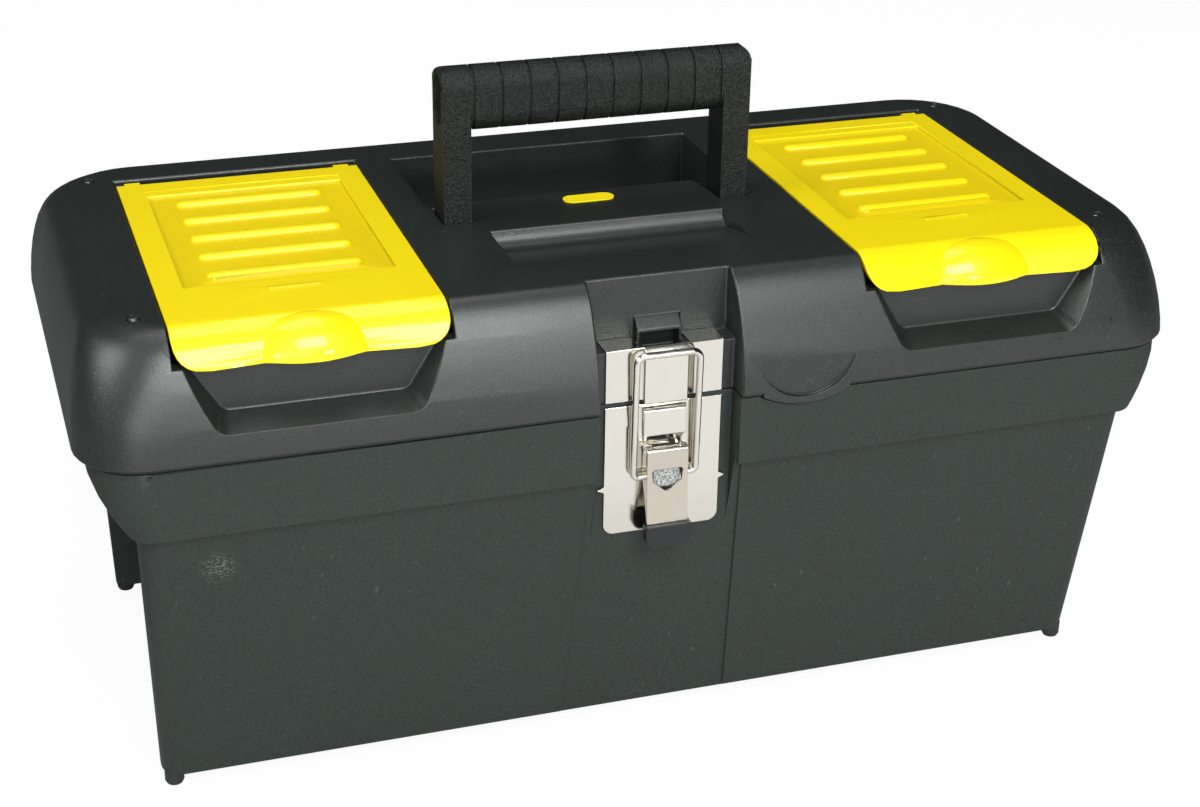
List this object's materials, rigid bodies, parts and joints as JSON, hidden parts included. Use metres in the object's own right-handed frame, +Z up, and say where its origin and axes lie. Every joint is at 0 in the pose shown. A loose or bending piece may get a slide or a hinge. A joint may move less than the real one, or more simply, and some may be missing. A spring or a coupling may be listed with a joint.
{
  "type": "hard tool case",
  "caption": "Moulded tool case: tapered tub with tray, hinged lid with two small-parts organisers, folding handle and toggle latch.",
  "frame": {"origin": "on the resting plane under the middle of the case over rim and rear hinges", "axes": "+X along the case towards the right as seen from the latch, +Y from the latch towards the rear hinges, +Z up"},
  "size_m": [0.406, 0.205, 0.2385],
  "materials": {
    "tub": "fine grain, satin",
    "lid": "fine grain, satin",
    "tray": "fine grain, matte",
    "bin": "fine grain, matte",
    "yellow": "gloss",
    "blank_plate": "satin",
    "handle": "coarse grain, matte",
    "lever_tip": "satin",
    "nickel": "bright nickel plate",
    "staple": "coarse grain",
    "pin_steel": "turned",
    "rod": "dark, smooth",
    "screw": "zinc plated"
  },
  "bodies": {
    "case": {"base_tub": "tub", "tote_tray": "tray", "hinge_pin_left": "pin_steel", "hinge_pin_right": "pin_steel", "latch_base_plate": "nickel", "latch_lever_pin": "nickel", "latch_staple": "staple"},
    "lid": {"lid_shell": "lid", "organizer_bin_left": "bin", "organizer_bin_right": "bin", "organizer_rod_left": "rod", "organizer_rod_right": "rod", "organizer_screws": "screw", "blank_plate": "blank_plate", "latch_keeper_plate": "nickel", "handle_pivot_left": "pin_steel", "handle_pivot_right": "pin_steel"},
    "organizer_lid_left": {"organizer_lid_left": "yellow"},
    "organizer_lid_right": {"organizer_lid_right": "yellow"},
    "handle": {"handle": "handle"},
    "lever": {"latch_lever": "nickel", "latch_lever_tip": "lever_tip"},
    "bail": {"latch_bail": "nickel"}
  },
  "joints": [
    {"name": "lid_hinge", "type": "hinge", "parent": "case", "child": "lid", "pos_m": [0, 0.099, 0.13825], "axis": [-1, 0, 0], "range_deg": [0, 105]},
    {"name": "organizer_left_hinge", "type": "hinge", "parent": "lid", "child": "organizer_lid_left", "pos_m": [-0.1225, 0.059, 0.1785], "axis": [-1, 0, 0], "range_deg": [0, 100]},
    {"name": "organizer_right_hinge", "type": "hinge", "parent": "lid", "child": "organizer_lid_right", "pos_m": [0.1225, 0.059, 0.1785], "axis": [-1, 0, 0], "range_deg": [0, 100]},
    {"name": "handle_fold", "type": "hinge", "parent": "lid", "child": "handle", "pos_m": [0, -0.0084, 0.172], "axis": [-1, 0, 0], "range_deg": [0, 90]},
    {"name": "latch_lever_hinge", "type": "hinge", "parent": "case", "child": "lever", "pos_m": [0, -0.0957, 0.1195], "axis": [-1, 0, 0], "range_deg": [0, 120]},
    {"name": "latch_bail_hinge", "type": "hinge", "parent": "lever", "child": "bail", "pos_m": [0, -0.0953, 0.1095], "axis": [1, 0, 0], "range_deg": [0, 120]}
  ],
  "couplings": [
    {"joint": "latch_bail_hinge", "follows": "latch_lever_hinge", "ratio": 1}
  ]
}
